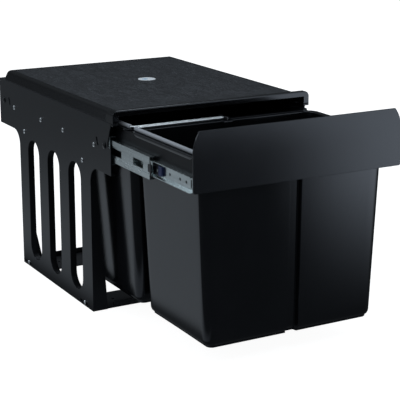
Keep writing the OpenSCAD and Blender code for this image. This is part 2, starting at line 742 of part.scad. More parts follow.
// Flat plate whose top leans back on a large radius, with tapered top corners
module fascia() {
    lean_r = (lean_h * lean_h + lean_back * lean_back) / (2 * lean_back);
    corner_r = (corner_h * corner_h + corner_w * corner_w) / (2 * corner_w);
    top = fascia_z + fascia_h;
    knee = top - lean_h;
    half = fascia_w / 2;
    tip_r = 4;
    foot_r = 3;
    color(black) difference() {
        intersection() {
            union() {
                translate([-half, fascia_y - fascia_t, fascia_z]) cube([fascia_w, fascia_t, knee - fascia_z]);
                translate([0, fascia_y - fascia_t + lean_r, knee]) intersection() {
                    difference() {
                        x_rod(2 * lean_r, -half, half, $fn = 128);
                        x_rod(2 * (lean_r - fascia_t), -half - 1, half + 1, $fn = 128);
                    }
                    translate([-half, -lean_r - 1, 0]) cube([fascia_w, 20, lean_h]);
                }
            }
            translate([0, fascia_y + 20, 0]) rotate([90, 0, 0]) linear_extrude(40) {
                difference() {
                    union() {
                        translate([-half + foot_r, fascia_z]) square([fascia_w - 2 * foot_r, fascia_h]);
                        translate([-half, fascia_z + foot_r]) square([fascia_w, fascia_h - foot_r]);
                        for (s = [-1, 1]) translate([s * (half - foot_r), fascia_z + foot_r]) circle(foot_r);
                    }
                    // taper each top corner on a large arc
                    for (s = [-1, 1]) difference() {
                        translate([s * half - corner_w - 5, top - corner_h])
                            square([2 * corner_w + 10, corner_h + 1]);
                        translate([s * (half - corner_r), top - corner_h]) circle(corner_r, $fn = 96);
                        translate([s > 0 ? -half : -1, top - corner_h - 1])
                            square([half - corner_w - tip_r, 80]);
                    }
                }
            }
        }
        for (x = [-fascia_hole_x, fascia_hole_x], z = fascia_hole_z)
            translate([x, fascia_y - fascia_t + 1, z]) rotate([-90, 0, 0])
                cylinder(d = rail_screw_d + 2 * screw_gap, h = fascia_t + 1);
    }
}

// ---------- bins ----------

body_h = bin_h - rim_t;
base_h = 12;

// Thin plate of the bin's plan at a share of the wall's height, 0 at the rim and 1 at the foot
module bin_slice(share, z, shrink) {
    translate([0, 0, z]) linear_extrude(small)
        round_rect(bin_half - draft_side * share - shrink, draft_front * share + shrink,
                   bin_d - draft_back * share - shrink, bin_corner_r - shrink, $fn = 32);
}

// Tapered body with a rounded-in base; shrink gives the cavity
module bin_body(shrink, floor_z, top) {
    share = 1 - base_h / bin_h;
    hull() {
        bin_slice(0, top - small, shrink);
        bin_slice(share, base_h + shrink, shrink);
    }
    hull() {
        bin_slice(share, base_h + shrink, shrink);
        bin_slice(share, (base_h + floor_z) / 2, shrink + 1.2);
        bin_slice(share, floor_z, shrink + 4.5);
    }
}

// Upright groove that follows a sloping wall; grow adds the wall around it, drop ends it below the rim
module flute(grow, draft, drop) {
    out = flute_w / 2 + grow;
    translate([0, 0, bin_h]) rotate([atan(draft / bin_h), 0, 0]) translate([0, 0, -bin_h * 1.1])
        linear_extrude(bin_h * 1.1 - drop) polygon([[-out - 1, -2], [-out, 0], [-out + 2.5, flute_d + grow],
            [out - 2.5, flute_d + grow], [out, 0], [out + 1, -2]]);
}

// Plan of the foot ring, set in from the walls
module foot_plan(inset) {
    round_rect(bin_half - draft_side - inset, draft_front + inset, bin_d - draft_back - inset,
               bin_corner_r - inset);
}

module bin_shape() {
    under_rim = rim_t + rim_drop;
    difference() {
        union() {
            bin_body(0, 4, body_h);
            // foot ring
            linear_extrude(6) difference() {
                foot_plan(5);
                foot_plan(8);
            }
            // rim with its turned-down edge
            translate([0, 0, bin_h - rim_t]) linear_extrude(rim_t)
                round_rect(rim_half, -rim_over, bin_d + rim_over, bin_corner_r + 3);
            translate([0, 0, bin_h - rim_t - rim_drop]) linear_extrude(rim_drop + 1) for (s = [-1, 1])
                translate([s * (rim_half - rim_wall / 2) - rim_wall / 2, 12]) square([rim_wall, bin_d - 24]);
        }
        difference() {
            bin_body(bin_wall, 6.5, bin_h + 1);
            flute(bin_wall, draft_front, -9);
            translate([0, bin_d, 0]) mirror([0, 1, 0]) flute(bin_wall, draft_back, -9);
        }
        flute(0, draft_front, under_rim);
        translate([0, bin_d, 0]) mirror([0, 1, 0]) flute(0, draft_back, under_rim);
    }
}

module front_bin() { color(black) translate([0, front_bin_y, foot_z]) bin_shape(); }
module rear_bin() { color(black) translate([0, rear_bin_y, foot_z]) bin_shape(); }

// ---------- bails ----------

pivot_len = 6;

// Pivot blocks on the rim that take the ends of the wire
module pivots(y0) {
    start = wire_d / 2 + run_gap - bail_off;
    eye_r = bail_z - rim_top;
    color(black) for (s = [0, 1]) translate([0, y0 + s * bin_d, 0]) mirror([0, s, 0]) difference() {
        union() {
            translate([-9, start, rim_top]) cube([18, pivot_len - 0.5 - start, 1.6]);
            translate([-eye_r, start, rim_top]) cube([2 * eye_r, pivot_len - 0.5 - start, eye_r]);
            translate([0, pivot_len - 0.5, bail_z]) rotate([90, 0, 0])
                cylinder(r = eye_r, h = pivot_len - 0.5 - start);
        }
        translate([0, pivot_len + 1, bail_z]) rotate([90, 0, 0])
            cylinder(d = wire_d + 2 * pivot_gap, h = pivot_len + 8);
    }
}

// Wire bail lying to the left: pivot ends, two arms, two bends and the cross bar
module bail_wire(y0) {
    arm = [y0 - bail_off, y0 + bin_d + bail_off];
    color([0.72, 0.73, 0.75]) translate([0, 0, bail_z]) {
        for (s = [0, 1]) translate([0, arm[s], 0]) mirror([0, s, 0]) {
            rotate([-90, 0, 0]) cylinder(d = wire_d, h = bail_off + pivot_len);
            sphere(d = wire_d);
            x_rod(wire_d, -bail_reach + bail_bend_r, 0);
            translate([-bail_reach + bail_bend_r, bail_bend_r, 0]) rotate(180)
                rotate_extrude(angle = 90) translate([bail_bend_r, 0]) circle(d = wire_d);
        }
        translate([-bail_reach, arm[0] + bail_bend_r, 0]) rotate([-90, 0, 0])
            cylinder(d = wire_d, h = arm[1] - arm[0] - 2 * bail_bend_r);
    }
}

module bail_sleeve(y0) {
    start = y0 - bail_off + bail_bend_r + 1;
    color([0.72, 0.73, 0.75]) translate([-bail_reach, start, bail_z]) rotate([-90, 0, 0]) difference() {
        cylinder(d = sleeve_d, h = bin_d + 2 * bail_off - 2 * bail_bend_r - 2);
        translate([0, 0, -1]) cylinder(d = wire_d + 0.02, h = bin_d + 2 * bail_off);
    }
}

module front_bail_pivots() { pivots(front_bin_y); }
module front_bail_wire() { bail_wire(front_bin_y); }
module front_bail_sleeve() { bail_sleeve(front_bin_y); }
module rear_bail_pivots() { pivots(rear_bin_y); }
module rear_bail_wire() { bail_wire(rear_bin_y); }
module rear_bail_sleeve() { bail_sleeve(rear_bin_y); }

// ---------- screws ----------

module rail_screws() {
    color(steel) for (s = [-1, 1]) on_side(s) {
        for (y = rail_hole_y) translate([-half_w, y, slide_z]) pan_screw(rail_screw_d, sheet + rail_t);
        for (y = tab_hole_y) translate([-half_w, y, tab_z]) pan_screw(rail_screw_d, sheet + rail_t);
    }
}

module bar_screws() {
    color(steel) for (s = [-1, 1], z = bar_screw_z)
        translate([s * (half_w - bar_screw_in), band_y1, z]) rotate([0, 0, -90])
            pan_screw(rail_screw_d, 2 * sheet);
}

module foot_screws() {
    color(steel) for (s = [-1, 1], y = foot_screw_y) on_side(s)
        translate([-half_w, y, plate_screw_z]) pan_screw(rail_screw_d, sheet + plate_t);
}

left_side_panel();
right_side_panel();
front_base_plate();
rear_base_plate();
rear_cross_bar();
hood();
panel_plugs();
rail_screws();
foot_screws();
bar_screws();
left_outer_rail();
right_outer_rail();
left_middle_rail();
right_middle_rail();
left_rail_bumper();
right_rail_bumper();
left_inner_rail();
right_inner_rail();
left_outer_cage();
right_outer_cage();
left_outer_balls();
right_outer_balls();
left_inner_cage();
right_inner_cage();
left_inner_balls();
right_inner_balls();
left_release_lever();
right_release_lever();
left_drawer_rail();
right_drawer_rail();
front_cross_member();
middle_cross_member();
rear_cross_member();
drawer_screws();
fascia_screws();
fascia();
front_bin();
front_bail_pivots();
front_bail_wire();
front_bail_sleeve();
rear_bin();
rear_bail_pivots();
rear_bail_wire();
rear_bail_sleeve();
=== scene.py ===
import json
import math

import bmesh
import bpy
import numpy as np
from mathutils import Matrix, Vector


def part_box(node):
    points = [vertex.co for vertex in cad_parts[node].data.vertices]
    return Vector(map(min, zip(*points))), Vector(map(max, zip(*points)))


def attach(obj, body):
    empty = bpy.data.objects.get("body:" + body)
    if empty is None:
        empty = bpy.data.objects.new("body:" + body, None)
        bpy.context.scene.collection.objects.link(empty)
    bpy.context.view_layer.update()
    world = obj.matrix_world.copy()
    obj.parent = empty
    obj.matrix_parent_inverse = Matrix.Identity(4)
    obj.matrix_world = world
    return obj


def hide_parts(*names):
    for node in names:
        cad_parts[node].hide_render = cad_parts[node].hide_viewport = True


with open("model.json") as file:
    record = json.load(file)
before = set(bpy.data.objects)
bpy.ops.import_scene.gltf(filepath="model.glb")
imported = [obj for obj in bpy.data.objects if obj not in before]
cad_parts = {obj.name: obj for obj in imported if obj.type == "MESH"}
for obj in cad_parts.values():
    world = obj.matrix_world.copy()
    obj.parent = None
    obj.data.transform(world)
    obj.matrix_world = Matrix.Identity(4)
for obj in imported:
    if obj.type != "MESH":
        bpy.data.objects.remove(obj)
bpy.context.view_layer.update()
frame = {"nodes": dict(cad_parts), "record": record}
nodes = frame["nodes"]
print("frame loaded:", len(nodes), "nodes")


# A shader socket that takes part in Python arithmetic: an expression adds its Math nodes
class Signal:
    def __init__(self, finish, link):
        self.finish, self.link = finish, link

    def calc(self, operation, first, second=0.0):
        return self.finish.node("ShaderNodeMath", {"operation": operation}, {0: first, 1: second})

    def __add__(self, other):
        return self.calc("ADD", self, other)

    def __sub__(self, other):
        return self.calc("SUBTRACT", self, other)

    def __rsub__(self, other):
        return self.calc("SUBTRACT", other, self)

    def __mul__(self, other):
        return self.calc("MULTIPLY", self, other)

    def __pow__(self, other):
        return self.calc("POWER", self, other)

    def size(self):
        return self.calc("ABSOLUTE", self)

    def atMost(self, other):
        return self.calc("MINIMUM", self, other)

    def atLeast(self, other):
        return self.calc("MAXIMUM", self, other)

    def above(self, other):
        return self.calc("GREATER_THAN", self, other)

    def below(self, other):
        return self.calc("LESS_THAN", self, other)

    # 0 below low, 1 above high, smooth between
    def rise(self, low, high):
        settings = {"interpolation_type": "SMOOTHSTEP"}
        return self.finish.node("ShaderNodeMapRange", settings,
                                {"Value": self, "From Min": low, "From Max": high})


# The nodes of one material, or of the world where a tree is given
class Finish:
    def __init__(self, name, tree=None):
        if tree is None:
            self.material = bpy.data.materials.new(name)
            self.material.use_nodes = True
            tree = self.material.node_tree
        else:
            self.material = None
        self.tree = tree
        self.tree.nodes.clear()
        self.place = None

    # any node from its type, its settings, then the values or links of its sockets
    def node(self, kind, settings=None, inputs=None, output=0):
        made = self.tree.nodes.new(kind)
        for name, value in (settings or {}).items():
            setattr(made, name, value)
        for name, value in (inputs or {}).items():
            if isinstance(value, Signal):
                self.tree.links.new(value.link, made.inputs[name])
            else:
                made.inputs[name].default_value = value
        return Signal(self, made.outputs[output]) if len(made.outputs) else None

    def objectPlace(self):
        if self.place is None:
            self.place = self.node("ShaderNodeTexCoord", output="Object")
        return self.place

    def axis(self, letter):
        return self.node("ShaderNodeSeparateXYZ", {}, {0: self.objectPlace()}, letter)

    # object coordinates stretched by a factor each way, for drawn-out patterns
    def stretched(self, factors):
        return self.node("ShaderNodeMapping", {}, {"Vector": self.objectPlace(), "Scale": factors})

    def noise(self, scale, detail, rough=0.5, place=None):
        return self.node("ShaderNodeTexNoise", {},
                         {"Vector": place or self.objectPlace(), "Scale": scale, "Detail": detail,
                          "Roughness": rough})

    # the distance from the middle of the nearest cell, or the cell's own colour
    def cells(self, scale, place=None, output="Distance"):
        return self.node("ShaderNodeTexVoronoi", {"feature": "F1"},
                         {"Vector": place or self.objectPlace(), "Scale": scale}, output)

    # sockets 6 and 7 of a Mix node are its two colours, and output 2 is the mixed one
    def mixColor(self, factor, first, second):
        first, second = (c if isinstance(c, Signal) else (*c, 1) for c in (first, second))
        sockets = {0: factor, 6: first, 7: second}
        return self.node("ShaderNodeMix", {"data_type": "RGBA"}, sockets, 2)

    # soft edges: the normal is rounded over a small radius, and bumps ride on it
    def relief(self, layers, edge):
        normal = self.node("ShaderNodeBevel", {"samples": 6}, {"Radius": edge}) if edge else None
        for height, depth in layers:
            inputs = {"Height": height, "Distance": depth, "Strength": 1.0}
            if normal is not None:
                inputs["Normal"] = normal
            normal = self.node("ShaderNodeBump", {}, inputs)
        return normal

    # the last shader goes to the output node of a surface, or of the world
    def show(self, shader, kind="ShaderNodeOutputMaterial"):
        self.node(kind, {}, {"Surface": shader})
        return self.material

    def close(self, **sockets):
        inputs = {name.replace("_", " "): value for name, value in sockets.items()}
        return self.show(self.node("ShaderNodeBsdfPrincipled", {}, inputs))


paintValues = {
    "tint": (0.0036, 0.0038, 0.0044), "light": (0.0052, 0.0055, 0.0064),
    "dust": (0.010, 0.0102, 0.011), "dustAmount": 0.35, "roughness": 0.40,
    "peel": 0.000035, "grit": 0.000018, "edge": 0.0006,
    "cloudScale": 9, "gritScale": 1900, "peelScale": 420, "dustScale": 60,
    "tintRise": (0.35, 0.7), "dustRise": (0.62, 0.8), "cloudRough": 0.10, "gritRough": 0.08,
    "roughMean": 0.09,   # what the two noises add in the mean
}
blackSheen = (0.88, 0.91, 1.0, 1)   # the cool tint of what every black surface mirrors


# Powder-coated steel: clouded tint, a little dust, and orange peel under a fine grit
def powderCoat(name, v, specular=0.5):
    f = Finish(name)
    cloud = f.noise(v["cloudScale"], 4)
    grit = f.noise(v["gritScale"], 2)
    peel = f.noise(v["peelScale"], 3)
    dust = f.noise(v["dustScale"], 5, 0.7)
    color = f.mixColor(cloud.rise(*v["tintRise"]), v["tint"], v["light"])
    color = f.mixColor(dust.rise(*v["dustRise"]) * v["dustAmount"], color, v["dust"])
    rough = cloud * v["cloudRough"] + grit * v["gritRough"] + v["roughness"] - v["roughMean"]
    return f.close(Base_Color=color, Roughness=rough, IOR=1.5, Specular_Tint=blackSheen,
                   Specular_IOR_Level=specular,
                   Normal=f.relief([(peel, v["peel"]), (grit, v["grit"])], v["edge"]))


drawerValues = dict(paintValues, roughness=0.36, tint=(0.0032, 0.0033, 0.0038),
                    light=(0.0046, 0.0048, 0.0054))
fasciaValues = dict(paintValues, roughness=0.22, tint=(0.0040, 0.0043, 0.0054),
                    light=(0.0050, 0.0054, 0.0066), peel=0.00002, grit=0.00001, edge=0.0008)
panelPaint = powderCoat("panelPaint", paintValues)
drawerPaint = powderCoat("drawerPaint", drawerValues, 0.25)
fasciaPaint = powderCoat("fasciaPaint", fasciaValues)

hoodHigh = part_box("hood")[1]
hoodValues = {
    "groove": hoodHigh.x - 0.017, "backGroove": hoodHigh.y - 0.0077, "top": 0.344,
    "fieldFront": -0.217, "foot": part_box("left_side_panel")[1].z, "line": 0.0015,
    "grainScale": 300, "waveScale": 85, "poreScale": 1500, "cloudScale": 7, "patchScale": 26,
    "fineScale": 900, "grainDepth": 0.0009, "fineDepth": 0.00001, "edge": 0.0009,
    "tint": (0.0016, 0.0019, 0.0026), "smoothTint": (0.0026, 0.0027, 0.0031),
    "rubbed": (0.0300, 0.0320, 0.0360), "pit": (0.0012, 0.0012, 0.0015),
    # the near-black colour of the painted shade in the groove and along the joint with the panels
    "paintedShade": (0.0006, 0.0006, 0.0008),
    "fieldEdge": 0.0006, "fieldDrop": 0.0012, "shadeDrop": 0.002, "footShare": 0.8,
    "waveStretch": (1.0, 0.30, 1.0), "grainStretch": (1.0, 0.4, 1.0),
    "speckStretch": (1.0, 0.3, 1.0),
    # shares of the grain's height, of the rubbed places, of the pits and of the roughness
    "grainHeight": 0.8, "poreHeight": 0.3, "waveHeight": 0.7,
    "speckRise": (0.40, 0.62), "waveRise": (0.35, 0.65), "waveWorn": 0.7, "evenWorn": 0.15,
    "patchRise": (0.45, 0.8), "patchWorn": 0.15, "pitRise": (0.6, 0.75), "pitAmount": 0.5,
    "grainRough": 0.12, "waveRough": 0.16, "fieldRough": 0.12, "cloudRough": 0.08,
    "shadeRough": 0.6, "roughness": 0.14,
}


# Moulded plastic: a grained field inside the groove, a smooth border round it, and painted shade in
# the groove and along the joint with the panels
def hoodPlastic(v):
    f = Finish("hoodPlastic")
    x, y, z = f.axis("X"), f.axis("Y"), f.axis("Z")
    # the grained field lies inside the groove, on the top face
    field = x.size().below(v["groove"] - v["fieldEdge"]) * z.above(v["top"] - v["fieldDrop"])
    field = field * y.below(v["backGroove"]) * y.above(v["fieldFront"])
    # painted shade: a near-black colour lies in the groove round the field and along the joint with
    # the panels, where shade falls
    onTop = z.above(v["top"] - v["shadeDrop"]) * y.below(v["backGroove"] + v["line"])
    sideLine = (x.size() - v["groove"]).size().below(v["line"]) * y.above(v["fieldFront"])
    backLine = (y - v["backGroove"]).size().below(v["line"]) * x.size().below(v["groove"])
    footLine = (z - v["foot"]).size().below(v["line"] * v["footShare"])
    paintedShade = ((sideLine + backLine).atMost(1.0) * onTop).atLeast(footLine)
    wave = f.noise(v["waveScale"], 3, 0.6, f.stretched(v["waveStretch"]))
    grain = f.cells(v["grainScale"], f.stretched(v["grainStretch"]))
    speck = f.noise(v["grainScale"], 3, 0.65, f.stretched(v["speckStretch"]))
    pores = f.noise(v["poreScale"], 3, 0.6)
    cloud = f.noise(v["cloudScale"], 3)
    patches = f.noise(v["patchScale"], 4, 0.6)
    height = grain * v["grainHeight"] + pores * v["poreHeight"] + wave * v["waveHeight"]
    height = height * field
    waveWorn = wave.rise(*v["waveRise"]) * v["waveWorn"] + v["evenWorn"]
    worn = speck.rise(*v["speckRise"]) * waveWorn + patches.rise(*v["patchRise"]) * v["patchWorn"]
    tint = f.mixColor(field, v["smoothTint"], v["tint"])
    tint = f.mixColor(worn * field, tint, v["rubbed"])
    tint = f.mixColor(pores.rise(*v["pitRise"]) * field * v["pitAmount"], tint, v["pit"])
    # painted shade darkens the groove round the field and the joint with the panels
    tint = f.mixColor(paintedShade, tint, v["paintedShade"])
    rough = field * (grain * v["grainRough"] + wave * v["waveRough"] + v["fieldRough"])
    rough = rough + cloud * v["cloudRough"] + paintedShade * v["shadeRough"] + v["roughness"]
    fine = f.noise(v["fineScale"], 2) * (1 - field)
    return f.close(Base_Color=tint, Roughness=rough, IOR=1.48, Specular_Tint=blackSheen,
                   Normal=f.relief([(height, v["grainDepth"]), (fine, v["fineDepth"])],
                                   v["edge"]))


plasticValues = {
    "cloudScale": 14, "flowScale": 30, "fineScale": 1400, "scuffScale": 260, "edge": 0.0005,
    "depth": 0.00002, "flowStretch": (1, 1, 0.12), "scuffStretch": (1.0, 1.0, 0.08),
    "tintRise": (0.3, 0.7), "scuffRise": (0.62, 0.7), "flowRough": 0.07, "scuffRough": 0.06,
    "fineRough": 0.03, "roughMean": 0.06,
}


# Smooth moulded plastic: two tints in clouds, upright flow marks and faint upright scuffs
def smoothPlastic(name, tint, second, roughness, v=plasticValues):
    f = Finish(name)
    cloud = f.noise(v["cloudScale"], 3)
    flow = f.noise(v["flowScale"], 4, 0.6, f.stretched(v["flowStretch"]))
    fine = f.noise(v["fineScale"], 2)
    scuff = f.noise(v["scuffScale"], 5, 0.7, f.stretched(v["scuffStretch"]))
    color = f.mixColor(cloud.rise(*v["tintRise"]), tint, second)
    rough = flow * v["flowRough"] + scuff.rise(*v["scuffRise"]) * v["scuffRough"]
    rough = rough + fine * v["fineRough"] + roughness - v["roughMean"]
    return f.close(Base_Color=color, Roughness=rough, IOR=1.5, Specular_Tint=blackSheen,
                   Normal=f.relief([(fine, v["depth"]), (flow, v["depth"] * 2)], v["edge"]))


zincValues = {
    "stretch": {"x": (0.03, 1, 1), "y": (1, 0.03, 1)}, "drawScale": 1500, "streakScale": 240,
    "spangleScale": 170, "filmScale": 26, "dim": 0.84, "film": (0.40, 0.43, 0.47),
    "bright": (0.93, 0.95, 0.97), "drawDepth": 0.000008, "filmDepth": 0.00003, "edge": 0.0003,
    "streakRise": (0.35, 0.7), "filmRise": (0.58, 0.8), "filmAmount": 0.5, "drawRough": 0.12,
    "filmRough": 0.12, "roughMean": 0.12,
}


# Zinc-plated steel: lines along the way it was drawn, spangle, and a dull film in places
def zincPlate(name, along, tint, roughness, spangle=0.02, v=zincValues):
    f = Finish(name)
    stretch = v["stretch"][along]
    draw = f.noise(v["drawScale"], 4, 0.6, f.stretched(stretch))
    streak = f.noise(v["streakScale"], 5, 0.6, f.stretched(stretch))
    patch = f.cells(v["spangleScale"], output="Color")
    patchTone = f.node("ShaderNodeSeparateColor", {}, {0: patch}, 0)
    film = f.noise(v["filmScale"], 5, 0.65)
    color = f.mixColor(streak.rise(*v["streakRise"]), tint, tuple(c * v["dim"] for c in tint))
    color = f.mixColor(film.rise(*v["filmRise"]) * v["filmAmount"], color, v["film"])
    color = f.mixColor(patchTone * spangle, color, v["bright"])
    rough = draw * v["drawRough"] + film * v["filmRough"] + patchTone * spangle
    rough = rough + roughness - v["roughMean"]
    return f.close(Base_Color=color, Roughness=rough, Metallic=1.0,
                   Normal=f.relief([(draw, v["drawDepth"]), (film, v["filmDepth"])], v["edge"]))


leverValues = {
    "tipShare": 0.34, "blend": 0.0008, "fineScale": 1300, "cloudScale": 160, "depth": 0.00002,
    "navy": (0.026, 0.042, 0.13), "mottle": (0.03, 0.04, 0.11), "body": (0.003, 0.0034, 0.006),
    "edge": 0.0003, "mottleRise": (0.5, 0.8), "mottleAmount": 0.25, "fineRough": 0.08,
    "roughness": 0.34,
}


# The release levers: black, with a navy tip over a share of their length from the front
def leverPlastic(v):
    f = Finish("leverPlastic")
    low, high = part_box("left_release_lever")
    tipEnd = low.y + (high.y - low.y) * v["tipShare"]
    tip = 1 - f.axis("Y").rise(tipEnd, tipEnd + v["blend"])
    fine = f.noise(v["fineScale"], 3)
    cloud = f.noise(v["cloudScale"], 3)
    color = f.mixColor(tip, v["body"], v["navy"])
    color = f.mixColor(cloud.rise(*v["mottleRise"]) * tip * v["mottleAmount"], color, v["mottle"])
    return f.close(Base_Color=color, Roughness=fine * v["fineRough"] + v["roughness"], IOR=1.48,
                   Normal=f.relief([(fine, v["depth"])], v["edge"]))


finishes = {
    "panel_paint": panelPaint,
    "drawer_paint": drawerPaint,
    "fascia_paint": fasciaPaint,
    "hood_plastic": hoodPlastic(hoodValues),
    "bin_plastic": smoothPlastic("binPlastic", (0.0034, 0.0036, 0.0043),
                                 (0.0046, 0.0049, 0.0058), 0.11),
    "plug_plastic": smoothPlastic("plugPlastic", (0.003, 0.003, 0.0034),
                                  (0.005, 0.005, 0.0056), 0.24),
    "bumper_plastic": smoothPlastic("bumperPlastic", (0.020, 0.022, 0.024),
                                    (0.03, 0.032, 0.035), 0.4),
    "lever_plastic": leverPlastic(leverValues),
    "zinc_rail": zincPlate("zincRail", "y", (0.66, 0.725, 0.735), 0.24),
    "zinc_screw": zincPlate("zincScrew", "x", (0.80, 0.82, 0.84), 0.24, 0.0),
    "ball_steel": zincPlate("ballSteel", "y", (0.64, 0.66, 0.68), 0.18, 0.0),
    "wire_zinc": zincPlate("wireZinc", "x", (0.74, 0.76, 0.78), 0.22, 0.0),
    "sleeve_plastic": smoothPlastic("sleevePlastic", (0.34, 0.355, 0.38),
                                    (0.40, 0.41, 0.435), 0.36),
}
for row in frame["record"]["subparts"]:
    mesh = nodes[row["node"]].data
    mesh.materials.clear()
    mesh.materials.append(finishes[row["material_slot"]])
print("finishes made:", len(finishes))


# A mesh from a grid of points, rows by columns by xyz; columns close on themselves, and a
# pole point closes each end
def meshFromGrid(name, grid, firstPole, lastPole, sharpAngle=38):
    rows, columns = grid.shape[:2]
    points = [grid.reshape(-1, 3)]
    index = np.arange(rows * columns).reshape(rows, columns)
    right = np.roll(index, -1, axis=1)
    quads = np.stack([index[:-1], right[:-1], right[1:], index[1:]], axis=-1).reshape(-1, 4)
    faces = quads.tolist()
    for pole, ring, flip in ((firstPole, 0, True), (lastPole, -1, False)):
        center = sum(len(p) for p in points)
        points.append(np.array([pole], float))
        a, b = (right[ring], index[ring]) if flip else (index[ring], right[ring])
        faces += np.stack([a, b, np.full_like(a, center)], axis=-1).tolist()
    mesh = bpy.data.meshes.new(name)
    mesh.from_pydata(np.concatenate(points).tolist(), [], faces)
    work = bmesh.new()
    work.from_mesh(mesh)
    bmesh.ops.remove_doubles(work, verts=work.verts, dist=1e-6)
    bmesh.ops.recalc_face_normals(work, faces=work.faces)
    work.to_mesh(mesh)
    work.free()
    mesh.polygons.foreach_set("use_smooth", np.ones(len(mesh.polygons), bool))
    mesh.set_sharp_from_angle(angle=math.radians(sharpAngle))
    made = bpy.data.objects.new(name, mesh)
    bpy.context.scene.collection.objects.link(made)
    return made


# A piece takes the finish of its slot, rides on its body and stands for its CAD node
def dress(piece, body, slotName, cadNode):
    piece.data.materials.append(finishes[slotName])
    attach(piece, body)
    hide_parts(cadNode)


binValues = {
    "halfWidth": 0.156, "depth": 0.204, "wall": 0.002, "sideDraft": 0.0115, "frontDraft": 0.005,
    "backDraft": 0.0095, "cornerRadius": 0.015, "rimThickness": 0.0025, "rimOverhang": 0.007,
    "rimDrop": 0.003, "rimWall": 0.0013, "rimCorner": 0.018, "rimRound": 0.0007, "fluteHalf": 0.010,
    "fluteSlope": 0.0025, "fluteDepth": 0.007, "baseHeight": 0.012, "baseInset": 0.0045,
    "undersideZ": 0.004, "ringInset": 0.005, "ringWidth": 0.003, "floorZ": 0.0065, "bow": 0.0005,
    "floorInsets": (0.06, 0.02), "underInset": 0.05, "ringSoft": 0.0006, "smallestCorner": 0.004,
    "lipSoft": 0.0008, "grooveStart": 0.75, "rimEdge": 0.0001, "rimEndIn": 0.012,
    "rimEndSlope": 0.0015, "rimBand": 0.004, "fluteEdge": 0.001,
    "flatSteps": 14, "sideSteps": 26, "cornerSteps": 12, "fluteSteps": 16, "wallRows": 18,
    "quarterSteps": 6, "underRound": 0.5, "dropEnd": 0.9,
}


# Plan of a bin at each row: a rectangle of half width half, from front to back, with corner
# arcs of radius corner, and a groove of depth groove(x) pressed into the middle of its front
# and its back. The arrays half, front, back, corner and groove hold one value a row.
def binPlan(v, half, front, back, corner, groove, z):
    half, front, back, corner, groove, z = (np.asarray(a, float)[:, None]
                                            for a in (half, front, back, corner, groove, z))
    w, slope, past = v["fluteHalf"], v["fluteSlope"], v["fluteEdge"]
    across = np.concatenate([np.linspace(-w - past, -w + slope, v["fluteSteps"] // 2),
                             np.linspace(w - slope, w + past, v["fluteSteps"] // 2)])
    depth = np.clip((w - np.abs(across)) / slope, 0, 1)
    depth = depth * depth * (3 - 2 * depth)
    flat = np.linspace(0, 1, v["flatSteps"] + 1)[:-1]
    ones = np.ones_like(half)
    reach = half - corner
    leftFlat = -reach + (across[0] + reach) * flat
    rightFlat = across[-1] + (reach - across[-1]) * (1 - flat[::-1])
    edgeX = np.concatenate([leftFlat, ones * across, rightFlat], axis=1)
    edgeIn = np.concatenate([0 * leftFlat, groove * depth, 0 * rightFlat], axis=1)
    turn = np.linspace(0, math.pi / 2, v["cornerSteps"] + 1)[1:-1]
    side = np.linspace(0, 1, v["sideSteps"] + 1)
    arcs = []
    for x0, y0, start in ((reach, front + corner, -90), (reach, back - corner, 0),
                          (-reach, back - corner, 90), (-reach, front + corner, 180)):
        a = turn + math.radians(start)
        arcs.append((x0 + corner * np.cos(a), y0 + corner * np.sin(a)))
    length = back - front - 2 * corner
    bow = v["bow"] * np.sin(side * math.pi) * (groove > 0)
    rightX, rightY = half - bow, front + corner + length * side
    x = np.concatenate([edgeX, arcs[0][0], rightX, arcs[1][0], -edgeX, arcs[2][0], -rightX,
                        arcs[3][0]], axis=1)
    y = np.concatenate([front + edgeIn, arcs[0][1], rightY, arcs[1][1], back - edgeIn, arcs[2][1],
                        back - corner - length * side, arcs[3][1]], axis=1)
    return np.stack([x, y, z + 0 * x], axis=-1)


